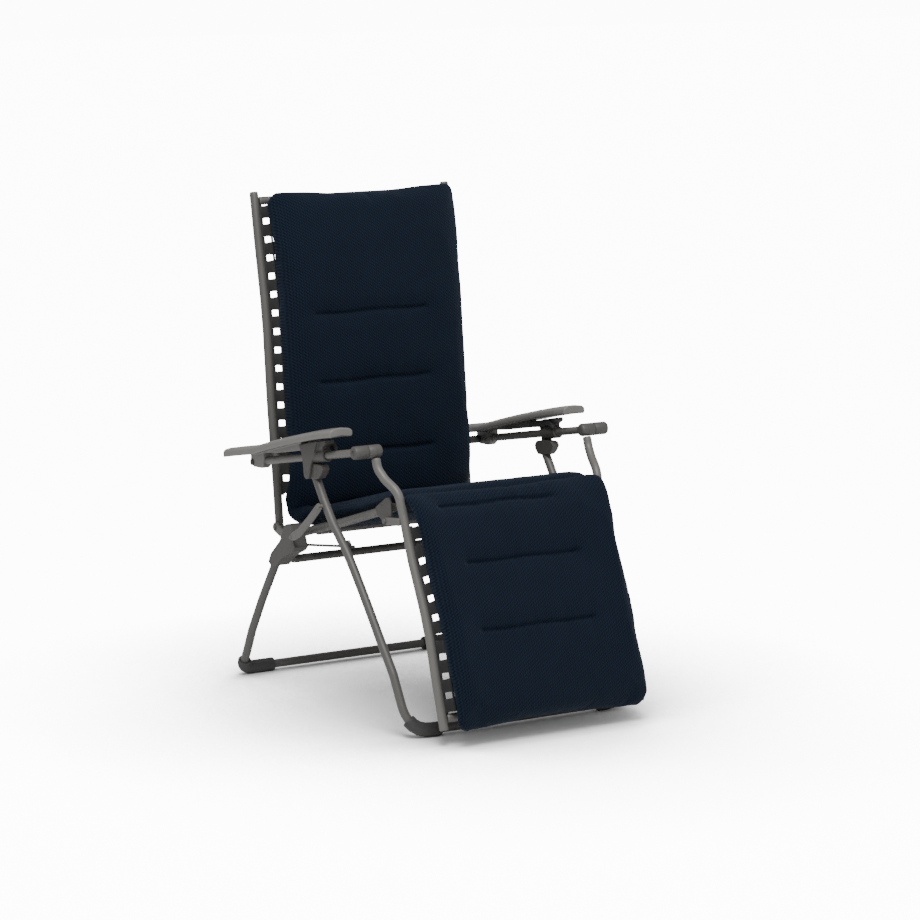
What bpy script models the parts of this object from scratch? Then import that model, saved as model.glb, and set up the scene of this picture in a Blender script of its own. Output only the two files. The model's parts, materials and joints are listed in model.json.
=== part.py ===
"""Zero gravity recliner: folding tube frame, three laced pads, sliding arm rods.

The chair faces -Y, +Z is up and X = 0 is its mirror plane. Every side profile is set out as
(y, z) in metres from the floor midway between the front and the rear feet, and mirrored for
the sitter's left (+X) and right (-X). The finished chair is then moved along Y, so that the
origin is the middle of its footprint box on the floor.
"""
import math

import bmesh
import bpy
from mathutils import Matrix, Vector

# Main sizes, metres
ORIGIN_SHIFT_Y = 0.0671   # from the middle of the feet to the middle of the footprint box
TUBE_R = 0.010            # legs, seat, backrest and legrest tubes
ARM_ROD_R = 0.009
BRACE_R = 0.0095
STAY_R = 0.0025
FOOT_R = 0.0160            # plastic sleeve, worn flat where it stands on the floor
PIN_R = 0.0040            # shank of every pivot pin
PIN_HOLE_R = 0.0044       # the bore it turns in
GAP = 0.0003              # fitting clearance between touching pieces
SOCKET_R = (TUBE_R + GAP) / math.cos(math.pi / 12)   # twelve-sided bore clear of a tube

# Lateral positions of the side frames
X_BACK = 0.259            # backrest and legrest tubes
X_SEAT = 0.250
X_REAR_LEG = 0.300
X_FRONT_LEG = 0.309
X_ARM = 0.309
X_STAY = 0.2672            # stay wires, just inside the knee pin heads
X_NECK = 0.280            # top of the legrest tubes, under the tee

# Joint axes, all parallel to X, as (y, z)
SCISSOR = (-0.064, 0.472)
KNEE = (0.150, 0.350)
BACK_PIVOT = (0.224, 0.374)
ROD_REAR = (0.2535, 0.5265)
ROD_FRONT = (-0.2275, 0.6155)
SEAT_FRONT = (-0.257, 0.463)
ARM_PIVOT = (-0.004, 0.536)
STAY_BEND = (0.098, 0.352)
STAY_FRONT = (-0.118, 0.383)
HUB_R = 0.0163             # spacer hub between backrest tube and arm rod
LEVER_PIVOT = (-0.048, 0.610)

# Side profiles, (y, z)
REAR_LEG = [(0.140, 0.343), (0.178, 0.306), (0.251, 0.199), (0.301, 0.119), (0.331, 0.065)]
REAR_LEG_X = [0.300, 0.300, 0.300, 0.299, 0.296]
REAR_BAR = (0.364, 0.0152)
FRONT_LEG = [(-0.0395, 0.5035), (-0.055, 0.483), (-0.094, 0.437), (-0.146, 0.384),
             (-0.176, 0.344), (-0.223, 0.280), (-0.283, 0.194), (-0.325, 0.135)]
FRONT_LEG_X = [0.309, 0.309, 0.309, 0.306, 0.303, 0.300, 0.296, 0.293]
FRONT_BAR = (-0.384, 0.0152)
STRUT = [(0.176, 0.340), (0.130, 0.350), (0.042, 0.385), (-0.018, 0.433), SCISSOR]
SEAT_RAIL = [(0.158, 0.368), (-0.046, 0.426), (-0.263, 0.493)]
BACK_RAIL = [(0.236, 0.363), (0.249, 0.479), (0.271, 0.640), (0.289, 0.825),
             (0.299, 0.893), (0.326, 1.030), (0.346, 1.140)]
LEG_RAIL = [(-0.233, 0.6003), (-0.240, 0.578), (-0.262, 0.556), (-0.300, 0.532), (-0.313, 0.484),
            (-0.349, 0.390), (-0.398, 0.288), (-0.423, 0.226), (-0.447, 0.142), (-0.481, 0.036)]
LEG_RAIL_X = [X_NECK, X_NECK, 0.274, 0.263, X_BACK, X_BACK, X_BACK, X_BACK, X_BACK, X_BACK]

MATERIALS = {
    "powder_coat_taupe": ((0.105, 0.097, 0.088), 0.42, 0.55),
    "powder_coat_dark": ((0.055, 0.051, 0.047), 0.45, 0.50),
    "plastic_taupe": ((0.090, 0.083, 0.075), 0.55, 0.0),
    "plastic_dark": ((0.030, 0.029, 0.028), 0.60, 0.0),
    "rubber_black": ((0.010, 0.010, 0.011), 0.70, 0.0),
    "mesh_fabric_navy": ((0.008, 0.020, 0.042), 0.90, 0.0),
    "steel_zinc": ((0.45, 0.45, 0.45), 0.35, 1.0),
}


def make_material(name):
    """One Principled material per finish."""
    if name in bpy.data.materials:
        return bpy.data.materials[name]
    colour, roughness, metallic = MATERIALS[name]
    mat = bpy.data.materials.new(name)
    mat.use_nodes = True
    shader = mat.node_tree.nodes["Principled BSDF"]
    shader.inputs["Base Color"].default_value = (*colour, 1.0)
    shader.inputs["Roughness"].default_value = roughness
    shader.inputs["Metallic"].default_value = metallic
    mat.diffuse_color = (*colour, 1.0)
    return mat


def solid(name, verts, faces):
    """Mesh object from vertices and faces, normals outward."""
    mesh = bpy.data.meshes.new(name)
    mesh.from_pydata([tuple(v) for v in verts], [], faces)
    bm = bmesh.new()
    bm.from_mesh(mesh)
    bmesh.ops.recalc_face_normals(bm, faces=bm.faces)
    bm.to_mesh(mesh)
    bm.free()
    obj = bpy.data.objects.new(name, mesh)
    bpy.context.scene.collection.objects.link(obj)
    return obj


def combine(target, tool, operation):
    """Boolean of two solids, kept on the first; the second is used up."""
    modifier = target.modifiers.new("combine", "BOOLEAN")
    modifier.operation = operation
    modifier.solver = "EXACT"
    modifier.object = tool
    graph = bpy.context.evaluated_depsgraph_get()
    result = bpy.data.meshes.new_from_object(target.evaluated_get(graph))
    target.modifiers.remove(modifier)
    target.data = result
    bpy.data.objects.remove(tool)
    bm = bmesh.new()
    bm.from_mesh(result)
    bmesh.ops.dissolve_degenerate(bm, edges=bm.edges, dist=1e-5)
    bmesh.ops.remove_doubles(bm, verts=bm.verts, dist=1e-5)
    bm.to_mesh(result)
    bm.free()
    return target


def join(target, tool):
    return combine(target, tool, "UNION")


def cut(target, tool):
    return combine(target, tool, "DIFFERENCE")


def rounded(points, radius, steps=4):
    """Polyline with each inner corner replaced by an arc."""
    pts = [Vector(p) for p in points]
    out = [pts[0]]
    for prev, here, nxt in zip(pts, pts[1:], pts[2:]):
        to_prev = (prev - here)
        to_next = (nxt - here)
        turn = math.pi - to_prev.angle(to_next)
        if turn < 0.02:
            out.append(here)
            continue
        reach = radius * math.tan(turn / 2)
        reach = min(reach, 0.45 * to_prev.length, 0.45 * to_next.length)
        start = here + to_prev.normalized() * reach
        end = here + to_next.normalized() * reach
        count = max(2, min(steps, math.ceil(turn / 0.2)))
        for i in range(count + 1):
            t = i / count
            a = start.lerp(here, t)
            b = here.lerp(end, t)
            out.append(a.lerp(b, t))
    out.append(pts[-1])
    return out


def sweep(name, points, radius, sides=12):
    """Round bar along a path, flat ends."""
    pts = [Vector(p) for p in points]
    tangents = []
    for i in range(len(pts)):
        a = pts[max(i - 1, 0)]
        b = pts[min(i + 1, len(pts) - 1)]
        tangents.append((b - a).normalized())
    side = tangents[0].orthogonal().normalized()
    if abs(tangents[0].x) < 0.9:
        side = (Vector((1, 0, 0)) - tangents[0] * tangents[0].x).normalized()
    verts, faces = [], []
    for p, t in zip(pts, tangents):
        side = (side - t * side.dot(t)).normalized()
        up = t.cross(side)
        for k in range(sides):
            angle = math.tau * (k + 0.5) / sides
            verts.append(p + radius * (math.cos(angle) * side + math.sin(angle) * up))
    for i in range(len(pts) - 1):
        for k in range(sides):
            n = (k + 1) % sides
            faces.append((i * sides + k, i * sides + n, (i + 1) * sides + n, (i + 1) * sides + k))
    faces.append(tuple(range(sides)))
    faces.append(tuple((len(pts) - 1) * sides + k for k in range(sides)))
    return solid(name, verts, faces)


def side_path(sx, profile, xs):
    """(y, z) profile set out at the lateral positions xs, on the side sx."""
    if not hasattr(xs, "__len__"):
        xs = [xs] * len(profile)
    return [(sx * x, y, z) for x, (y, z) in zip(xs, profile)]


def prism(name, outline, sx, x0, x1):
    """(y, z) outline extruded from x0 to x1 on the side sx."""
    n = len(outline)
    verts = [(sx * x, y, z) for x in (x0, x1) for y, z in outline]
    faces = [tuple(range(n)), tuple(range(n, 2 * n))]
    faces += [(i, (i + 1) % n, n + (i + 1) % n, n + i) for i in range(n)]
    return solid(name, verts, faces)


def stroke(points, half_width, end_steps=6):
    """Outline of a bar of constant width with round ends along a (y, z) polyline."""
    pts = [Vector((p[0], p[1])) for p in points]
    left, right = [], []
    for i, p in enumerate(pts):
        t = (pts[min(i + 1, len(pts) - 1)] - pts[max(i - 1, 0)]).normalized()
        normal = Vector((-t.y, t.x))
        left.append(p + normal * half_width)
        right.append(p - normal * half_width)
    def cap(centre, direction):
        base = math.atan2(direction.y, direction.x)
        out = []
        for k in range(1, end_steps):
            angle = base + math.pi / 2 - math.pi * k / end_steps
            out.append(centre + half_width * Vector((math.cos(angle), math.sin(angle))))
        return out
    start = (pts[0] - pts[1]).normalized()
    end = (pts[-1] - pts[-2]).normalized()
    outline = left + cap(pts[-1], end) + right[::-1] + cap(pts[0], start)
    return [(v.x, v.y) for v in outline]


def turned(name, centre, sx, profile, bore=0.0, steps=16):
    """Body of revolution about an X axis through centre; profile is [(x, radius), ...]."""
    loops = list(profile)
    if bore:
        loops = loops + [(profile[-1][0], bore), (profile[0][0], bore)]
    verts, faces = [], []
    for x, r in loops:
        for k in range(steps):
            a = math.tau * k / steps
            verts.append((sx * x, centre[0] + r * math.cos(a), centre[1] + r * math.sin(a)))
    count = len(loops)
    last = count if bore else count - 1
    for i in range(last):
        j = (i + 1) % count
        for k in range(steps):
            n = (k + 1) % steps
            faces.append((i * steps + k, i * steps + n, j * steps + n, j * steps + k))
    if not bore:
        faces.append(tuple(range(steps)))
        faces.append(tuple((count - 1) * steps + k for k in range(steps)))
    return solid(name, verts, faces)


def drill(target, centre, sx, x0, x1, radius=PIN_HOLE_R):
    """Round hole along X."""
    return cut(target, turned("drill", centre, sx, [(x0, radius), (x1, radius)]))


def finish(obj, material, origin, smooth=40.0):
    """Origin on the joint axis, material, smooth rounds with sharp edges kept."""
    oy, oz = origin
    obj.data.transform(Matrix.Translation((0.0, -oy, -oz)))
    obj.location = (0.0, oy, oz)
    obj.data.materials.clear()
    obj.data.materials.append(make_material(material))
    obj.data.shade_smooth()
    obj.data.set_sharp_from_angle(angle=math.radians(smooth))
    return obj


def place_along(profile, distance):
    """Point and forward normal on a (y, z) polyline at a distance from its start."""
    pts = [Vector(p) for p in profile]
    for a, b in zip(pts, pts[1:]):
        step = (b - a).length
        if distance <= step or b is pts[-1]:
            t = (b - a).normalized()
            return a + t * distance, t
        distance -= step
    return pts[-1], t


def pad(name, stations, half_width, sign):
    """Soft cushion: stations are (y, z, half thickness, width share) along its middle."""
    ring = [(-1.0, 0.0), (-0.985, 0.55), (-0.90, 0.86), (-0.5, 1.0), (0.0, 1.0), (0.5, 1.0),
            (0.90, 0.86), (0.985, 0.55), (1.0, 0.0), (0.985, -0.55), (0.90, -0.86),
            (0.5, -1.0), (0.0, -1.0), (-0.5, -1.0), (-0.90, -0.86), (-0.985, -0.55)]
    verts, faces = [], []
    mids = [Vector((s[0], s[1])) for s in stations]
    for i, (y, z, half, share) in enumerate(stations):
        t = (mids[min(i + 1, len(mids) - 1)] - mids[max(i - 1, 0)]).normalized()
        normal = Vector((-t.y, t.x)) * sign
        for u, v in ring:
            p = mids[i] + normal * (v * half)
            verts.append((u * half_width * share, p.x, p.y))
    n = len(ring)
    for i in range(len(stations) - 1):
        for k in range(n):
            m = (k + 1) % n
            faces.append((i * n + k, i * n + m, (i + 1) * n + m, (i + 1) * n + k))
    faces.append(tuple(range(n)))
    faces.append(tuple((len(stations) - 1) * n + k for k in range(n)))
    return solid(name, verts, faces)


def lacing(name, sx, profile, start, count, pitch, tooth, inner, outer, sign, thickness=0.003):
    """Row of rubber clips on the hem cord: inner and outer are (x, forward offset)."""
    rail = 0.25
    stations = []
    s = start
    for i in range(count):
        stations += [(s, True), (s + tooth, False)]
        s += pitch
    verts, faces = [], []
    for s, _ in stations:
        p, t = place_along(profile, s)
        normal = Vector((-t.y, t.x)) * sign
        for share in (0.0, rail, 1.0):
            x = inner[0] + (outer[0] - inner[0]) * share
            off = inner[1] + (outer[1] - inner[1]) * share
            for side in (-0.5, 0.5):
                q = p + normal * (off + side * thickness)
                verts.append((sx * x, q.x, q.y))
    def v(i, j, k):
        return i * 6 + j * 2 + k
    last = len(stations) - 1
    for i in range(last):
        has_tooth = stations[i][1]
        for j in range(2 if has_tooth else 1):
            for k in (0, 1):
                faces.append((v(i, j, k), v(i + 1, j, k), v(i + 1, j + 1, k), v(i, j + 1, k)))
        faces.append((v(i, 0, 0), v(i, 0, 1), v(i + 1, 0, 1), v(i + 1, 0, 0)))
        edge = 2 if has_tooth else 1
        faces.append((v(i, edge, 0), v(i, edge, 1), v(i + 1, edge, 1), v(i + 1, edge, 0)))
        if has_tooth:
            for e in (i, i + 1):
                faces.append((v(e, 1, 0), v(e, 1, 1), v(e, 2, 1), v(e, 2, 0)))
    for e in (0, last):
        faces.append((v(e, 0, 0), v(e, 0, 1), v(e, 1, 1), v(e, 1, 0)))
    return solid(name, verts, faces)


for old in list(bpy.data.objects):
    bpy.data.objects.remove(old)

SIDES = (("left", 1), ("right", -1))
FLOOR_PIVOT = (0.0, 0.0)


# ---- Rear frame: stands on the floor, everything else hangs on it -------------------------
def leg_loop(profile, xs, bar, bend):
    """Tube down one side, across the floor and up the other side."""
    corner_x = xs[-1] - 0.004
    left = side_path(1, profile, xs) + [(corner_x, *bar)]
    right = side_path(-1, profile, xs) + [(-corner_x, *bar)]
    path = left + right[::-1]
    return rounded(path, bend, steps=6)


rear_path = leg_loop(REAR_LEG, REAR_LEG_X, REAR_BAR, 0.045)
front_path = leg_loop(FRONT_LEG, FRONT_LEG_X, FRONT_BAR, 0.070)

finish(sweep("rear_leg_frame", rear_path, TUBE_R), "powder_coat_dark", FLOOR_PIVOT)
finish(sweep("rear_cross_brace", [(-0.2832, 0.159, 0.309), (0.2832, 0.159, 0.309)], BRACE_R),
       "powder_coat_dark", FLOOR_PIVOT)

KNEE_OUTLINE = [(0.084, 0.345), (0.092, 0.362), (0.120, 0.368), (0.142, 0.372), (0.160, 0.366),
                (0.172, 0.348), (0.190, 0.318), (0.184, 0.302), (0.170, 0.297), (0.152, 0.297),
                (0.140, 0.308), (0.120, 0.327), (0.096, 0.336)]
for side, sx in SIDES:
    knee = prism("knee_bracket_" + side, KNEE_OUTLINE, sx, 0.2835, 0.3192)
    seat_for_leg = sweep("socket", side_path(sx, REAR_LEG[:3], X_REAR_LEG), SOCKET_R)
    knee = cut(knee, seat_for_leg)
    cap = sweep("cap", [(sx * X_REAR_LEG, 0.1402, 0.3428), (sx * X_REAR_LEG, 0.1380, 0.3450)],
                SOCKET_R)
    knee = cut(knee, cap)
    knee = drill(knee, KNEE, sx, 0.2800, 0.2889)
    finish(knee, "plastic_taupe", FLOOR_PIVOT)

    strut = prism("strut_" + side, stroke(rounded([(*p, 0) for p in STRUT], 0.06), 0.0105),
                  sx, 0.3197, 0.3307)
    strut = join(strut, turned("pin", SCISSOR, sx, [(0.2988, PIN_R), (0.3300, PIN_R)]))
    finish(strut, "powder_coat_taupe", FLOOR_PIVOT)


def foot(name, path, bar, sx, reach):
    """Plastic sleeve around the bent corner of a floor bar."""
    near = [p for p in path if p.x * sx > 0.205 and p.z < reach]
    near.sort(key=lambda p: (-p.z, -p.x * sx))
    inner_end = Vector((sx * 0.210, *bar))
    line = near + [inner_end]
    body = sweep(name, line, FOOT_R)
    tube = sweep("tube", [line[0] + (line[0] - line[1]).normalized() * 0.01] + line +
                 [Vector((sx * 0.200, *bar))], SOCKET_R)
    body = cut(body, tube)
    below = prism("below", [(-0.6, -0.05), (0.6, -0.05), (0.6, 0.0), (-0.6, 0.0)], 1, -0.4, 0.4)
    return cut(body, below)


for side, sx in SIDES:
    finish(foot("rear_foot_" + side, rear_path, REAR_BAR, sx, 0.045), "plastic_dark", FLOOR_PIVOT)

# ---- Front frame: swings about the scissor pivot ------------------------------------------
front = sweep("front_leg_frame", front_path, TUBE_R)
for side, sx in SIDES:
    front = drill(front, SCISSOR, sx, 0.2950, 0.3230)
finish(front, "powder_coat_dark", SCISSOR)

LEG_TOP_OUTLINE = [(-0.070, 0.543), (-0.060, 0.553), (-0.022, 0.557), (0.000, 0.551),
                   (0.007, 0.545), (0.010, 0.536), (0.007, 0.527), (-0.006, 0.519),
                   (-0.026, 0.508), (-0.044, 0.500), (-0.058, 0.506), (-0.070, 0.520)]
for side, sx in SIDES:
    finish(foot("front_foot_" + side, front_path, FRONT_BAR, sx, 0.042), "plastic_dark", SCISSOR)
    top = prism("leg_top_" + side, LEG_TOP_OUTLINE, sx, 0.2993, 0.3187)
    end = Vector(FRONT_LEG[0])
    run = (end - Vector(FRONT_LEG[1])).normalized()
    deep = end + run * GAP
    low = end - run * 0.03
    socket = sweep("socket", side_path(sx, [tuple(low), tuple(deep)], X_FRONT_LEG), SOCKET_R)
    finish(cut(top, socket), "plastic_taupe", SCISSOR)
    clip = prism("stay_clip_" + side, [(-0.123, 0.376), (-0.112, 0.384), (-0.116, 0.398),
                                       (-0.128, 0.402), (-0.137, 0.392), (-0.134, 0.380)],
                 sx, 0.2850, 0.2965)
    leg = sweep("leg", side_path(sx, FRONT_LEG[1:6], FRONT_LEG_X[1:6]), SOCKET_R)
    finish(cut(clip, leg), "plastic_dark", SCISSOR)

# ---- Stay wires limit how far the legs open; each is hooked fast on its knee pin ----------
for side, sx in SIDES:
    pin = turned("stay_wire_" + side, KNEE, sx,
                 [(0.2698, 0.0062), (0.2735, 0.0062), (0.2735, PIN_R), (0.2793, PIN_R),
                  (0.2793, 0.0068), (0.2832, 0.0068), (0.2832, PIN_R), (0.2885, PIN_R)])
    wire = [(sx * 0.2720, *KNEE), (sx * X_STAY, *KNEE), (sx * X_STAY, *STAY_BEND),
            (sx * X_STAY, *STAY_FRONT),
            (sx * 0.2825, STAY_FRONT[0] - 0.0005, STAY_FRONT[1] + 0.0002)]
    pin = join(pin, sweep("wire", rounded(wire, 0.004, 3), STAY_R, sides=8))
    finish(pin, "steel_zinc", KNEE)

# ---- Seat frame: turns on the knee pins ---------------------------------------------------
LINK_X = (0.2738, 0.2790)
for side, sx in SIDES:
    tube = sweep("seat_tube_" + side, rounded(side_path(sx, SEAT_RAIL, X_SEAT), 0.3), TUBE_R)
    finish(tube, "powder_coat_taupe", KNEE)

    link = prism("seat_link_" + side, stroke([KNEE, BACK_PIVOT], 0.0110), sx, *LINK_X)
    boss_at = (0.1530, 0.3690)
    link = join(link, prism("ear", stroke([KNEE, boss_at], 0.0095), sx, *LINK_X))
    link = join(link, turned("boss", boss_at, sx, [(0.2603, 0.0085), (0.2760, 0.0085)]))
    link = drill(link, KNEE, sx, 0.2720, 0.2810)
    link = drill(link, BACK_PIVOT, sx, 0.2720, 0.2810)
    finish(link, "powder_coat_taupe", KNEE)

    bracket = prism("seat_bracket_" + side,
                    [(-0.212, 0.470), (-0.205, 0.486), (-0.250, 0.514), (-0.262, 0.516),
                     (-0.270, 0.506), (-0.272, 0.466), (-0.264, 0.453), (-0.250, 0.452)],
                    sx, 0.2603, 0.2653)
    bracket = drill(bracket, SEAT_FRONT, sx, 0.2590, 0.2670)
    finish(bracket, "plastic_taupe", KNEE)

finish(sweep("seat_cross_tube", [(-0.2397, 0.100, 0.3815), (0.2397, 0.100, 0.3815)], TUBE_R),
       "powder_coat_taupe", KNEE)

# ---- Backrest: leans back on the rear end of the seat links -------------------------------
for side, sx in SIDES:
    pin = turned("back_pin_" + side, BACK_PIVOT, sx,
                 [(0.2560, PIN_R), (0.2793, PIN_R), (0.2793, 0.0066), (0.2818, 0.0060)])
    finish(pin, "steel_zinc", BACK_PIVOT)

    tube = sweep("back_tube_" + side, rounded(side_path(sx, BACK_RAIL, X_BACK), 0.5), TUBE_R)
    lug = prism("lug", stroke([(0.2400, 0.3760), BACK_PIVOT], 0.0105), sx, 0.2630, 0.2733)
    tube = join(tube, lug)
    tube = drill(tube, BACK_PIVOT, sx, 0.2545, 0.2750)
    tube = drill(tube, ROD_REAR, sx, 0.2450, 0.2720)
    finish(tube, "powder_coat_dark", BACK_PIVOT)

finish(sweep("back_cross_tube", [(-0.2487, 0.3421, 1.119), (0.2487, 0.3421, 1.119)], BRACE_R),
       "powder_coat_dark", BACK_PIVOT)

# ---- Legrest: turns on the seat's front brackets ------------------------------------------
for side, sx in SIDES:
    pin = turned("legrest_pin_" + side, SEAT_FRONT, sx,
                 [(0.2572, 0.0062), (0.2600, 0.0066), (0.2600, PIN_R), (0.2738, PIN_R),
                  (0.2738, 0.0066), (0.2763, 0.0060)])
    finish(pin, "steel_zinc", SEAT_FRONT)

    tube = sweep("legrest_tube_" + side, rounded(side_path(sx, LEG_RAIL, LEG_RAIL_X), 0.05),
                 TUBE_R)
    lug = prism("lug", stroke([(-0.3165, 0.4700), SEAT_FRONT], 0.0090), sx, 0.2656, 0.2735)
    tube = join(tube, lug)
    tube = drill(tube, SEAT_FRONT, sx, 0.2640, 0.2750)
    finish(tube, "powder_coat_taupe", SEAT_FRONT)

    hub = turned("tee_inner_" + side, ROD_FRONT, sx,
                 [(0.2645, 0.0110), (0.2670, 0.0140), (0.2700, 0.0148), (0.2995, 0.0148)],
                 bore=PIN_HOLE_R, steps=20)
    finish(hub, "plastic_taupe", SEAT_FRONT)

finish(sweep("legrest_cross_tube", [(-0.2487, -0.4730, 0.0610), (0.2487, -0.4730, 0.0610)],
             BRACE_R), "powder_coat_taupe", SEAT_FRONT)

# ---- Arm rods: link the backrest to the legrest, parallel to the seat ---------------------
for side, sx in SIDES:
    pin = turned("rod_pin_" + side, ROD_REAR, sx,
                 [(0.2466, 0.0048), (0.2486, 0.0048), (0.2486, PIN_R), (0.2697, PIN_R),
                  (0.2697, HUB_R), (0.2985, HUB_R), (0.2985, PIN_R), (0.3203, PIN_R),
                  (0.3203, 0.0080), (0.3230, 0.0070)])
    finish(pin, "steel_zinc", ROD_REAR)

    run = (Vector(ROD_FRONT) - Vector(ROD_REAR)).normalized()
    rear = Vector(ROD_REAR) + run * 0.006
    fore = Vector(ROD_FRONT) - run * 0.0153
    rod = sweep("arm_rod_" + side, side_path(sx, [tuple(rear), tuple(fore)], X_ARM), ARM_ROD_R,
                sides=16)
    rod = join(rod, turned("eye", ROD_REAR, sx, [(0.2988, 0.0120), (0.3200, 0.0120)], steps=18))
    rod = drill(rod, ROD_REAR, sx, 0.2950, 0.3220)
    finish(rod, "powder_coat_taupe", ROD_REAR)

    tee = turned("tee_outer_" + side, ROD_FRONT, sx,
                 [(0.2720, PIN_R), (0.3003, PIN_R), (0.3003, 0.0148), (0.3320, 0.0148),
                  (0.3350, 0.0125)], steps=20)
    finish(tee, "plastic_taupe", ROD_REAR)

# ---- Armrests: each clamp slides along its rod and carries the plate ----------------------
PLATE_MID = [(0.385, 0.5290), (0.300, 0.5425), (0.220, 0.5555), (0.150, 0.5755),
             (0.079, 0.5945), (0.010, 0.6115), (-0.061, 0.6275), (-0.125, 0.6415), (-0.182, 0.6500)]
PLATE_HALF = 0.0062
PLATE_X = (0.277, 0.345)
RAIL_OUTLINE = [(0.205, 0.5530), (0.205, 0.5600), (0.030, 0.6030), (0.030, 0.5817),
                (0.130, 0.5632)]
for side, sx in SIDES:
    n = len(PLATE_MID)
    plate_verts, plate_faces = [], []
    shares = [0.55, 0.93] + [1.0] * (n - 4) + [0.96, 0.72]
    mid_x = 0.5 * (PLATE_X[0] + PLATE_X[1])
    half_x = 0.5 * (PLATE_X[1] - PLATE_X[0])
    ring = [(-1, -0.4), (-1, 0.4), (-0.9, 1), (0.9, 1), (1, 0.4), (1, -0.4), (0.9, -1), (-0.9, -1)]
    for (y, z), share in zip(PLATE_MID, shares):
        for u, w in ring:
            plate_verts.append((sx * (mid_x + u * half_x * share), y, z + w * PLATE_HALF))
    m = len(ring)
    for i in range(n - 1):
        for k in range(m):
            q = (k + 1) % m
            plate_faces.append((i * m + k, i * m + q, (i + 1) * m + q, (i + 1) * m + k))
    plate_faces.append(tuple(range(m)))
    plate_faces.append(tuple((n - 1) * m + k for k in range(m)))
    plate = solid("armrest_" + side, plate_verts, plate_faces)
    plate = join(plate, prism("rail", RAIL_OUTLINE, sx, 0.2990, 0.3190))
    finish(plate, "powder_coat_taupe", ROD_REAR)

    outline = [(0.029, 0.5982), (-0.078, 0.6222), (-0.080, 0.6140), (-0.0640, 0.6040),
               (-0.030, 0.5940), (0.0120, 0.5870), (0.0290, 0.5885)]
    clamp = prism("arm_clamp_" + side, outline, sx, 0.2950, 0.3190)
    cheek = [(0.029, 0.5990), (-0.050, 0.6168), (-0.044, 0.6020), (-0.022, 0.5560),
             (-0.0160, 0.5340), (-0.0120, 0.5270), (-0.0040, 0.5240), (0.0040, 0.5270),
             (0.0080, 0.5340), (0.0110, 0.5560), (0.0180, 0.5800)]
    clamp = join(clamp, prism("cheek", cheek, sx, 0.3188, 0.3255))
    collar_run = Vector(ROD_FRONT) - Vector(ROD_REAR)
    collar_run.normalize()
    base = Vector(ROD_REAR)
    a = base + collar_run * 0.276
    b = base + collar_run * 0.334
    clamp = join(clamp, sweep("collar", side_path(sx, [tuple(a), tuple(b)], X_ARM), 0.0145,
                              sides=16))
    neck = prism("neck", [(-0.022, 0.586), (-0.022, 0.602), (-0.066, 0.611), (-0.066, 0.594)],
                 sx, 0.3000, 0.3180)
    clamp = join(clamp, neck)
    a = base + collar_run * 0.180
    b = base + collar_run * 0.360
    clamp = cut(clamp, sweep("bore", side_path(sx, [tuple(a), tuple(b)], X_ARM),
                             (ARM_ROD_R + GAP) / math.cos(math.pi / 16), sides=16))
    clamp = drill(clamp, LEVER_PIVOT, sx, 0.2940, 0.3010)
    finish(clamp, "plastic_taupe", ROD_REAR)

    lever = prism("lock_lever_" + side,
                  [(-0.0430, 0.6050), (-0.0430, 0.6145), (-0.0500, 0.6165), (-0.070, 0.613),
                   (-0.081, 0.604), (-0.080, 0.597), (-0.068, 0.602), (-0.052, 0.602)],
                  sx, 0.2875, 0.2945)
    lever = join(lever, turned("stub", LEVER_PIVOT, sx, [(0.2900, PIN_R), (0.2999, PIN_R)]))
    finish(lever, "plastic_dark", LEVER_PIVOT)

# ---- Pads and their lacing ----------------------------------------------------------------
BACK_PAD = [(0.2245, 0.4130, 0.008, 0.90), (0.2215, 0.4250, 0.016, 0.97),
            (0.2150, 0.4700, 0.019, 1.0), (0.2140, 0.5400, 0.020, 1.0),
            (0.2240, 0.6500, 0.021, 1.0), (0.2430, 0.8100, 0.021, 1.0),
            (0.2560, 0.8950, 0.021, 1.0), (0.2850, 1.0300, 0.021, 1.0),
            (0.3010, 1.1000, 0.018, 1.0), (0.3065, 1.1220, 0.010, 0.97)]
SEAT_PAD = [(0.1500, 0.3990, 0.006, 0.92), (0.1380, 0.4010, 0.009, 0.97),
            (0.1000, 0.4055, 0.012, 1.0), (0.0200, 0.4200, 0.016, 1.0),
            (-0.0900, 0.4480, 0.019, 1.0), (-0.1800, 0.4780, 0.020, 1.0),
            (-0.2150, 0.4900, 0.017, 1.0), (-0.2300, 0.4960, 0.009, 0.96)]
BACK_ROLL = [(0.2190, 0.4010, 0.006, 0.92), (0.2080, 0.3925, 0.011, 0.98),
             (0.1900, 0.3885, 0.012, 1.0), (0.1720, 0.3900, 0.011, 0.98),
             (0.1600, 0.3935, 0.006, 0.92)]
FRONT_ROLL = [(-0.2370, 0.5000, 0.007, 0.94), (-0.2480, 0.5050, 0.009, 1.0),
              (-0.2600, 0.5075, 0.009, 1.0), (-0.2720, 0.5060, 0.006, 0.94)]
LEG_PAD = [(-0.2960, 0.5230, 0.008, 0.94), (-0.3140, 0.5180, 0.016, 0.99),
           (-0.3350, 0.4880, 0.019, 1.0), (-0.3560, 0.4460, 0.020, 1.0),
           (-0.3830, 0.3860, 0.020, 1.0), (-0.4300, 0.2870, 0.020, 1.0),
           (-0.4560, 0.2230, 0.020, 1.0), (-0.4830, 0.1350, 0.020, 1.0),
           (-0.5030, 0.0700, 0.017, 1.0), (-0.5090, 0.0500, 0.009, 0.96)]
finish(pad("back_pad", BACK_PAD, 0.2360, 1), "mesh_fabric_navy", BACK_PIVOT)
finish(pad("seat_pad", SEAT_PAD, 0.2270, 1), "mesh_fabric_navy", KNEE)
finish(pad("legrest_pad", LEG_PAD, 0.2360, 1), "mesh_fabric_navy", SEAT_FRONT)
finish(pad("back_roll_pad", BACK_ROLL, 0.2250, 1), "mesh_fabric_navy", BACK_PIVOT)
finish(pad("front_roll_pad", FRONT_ROLL, 0.2200, 1), "mesh_fabric_navy", SEAT_FRONT)
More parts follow.
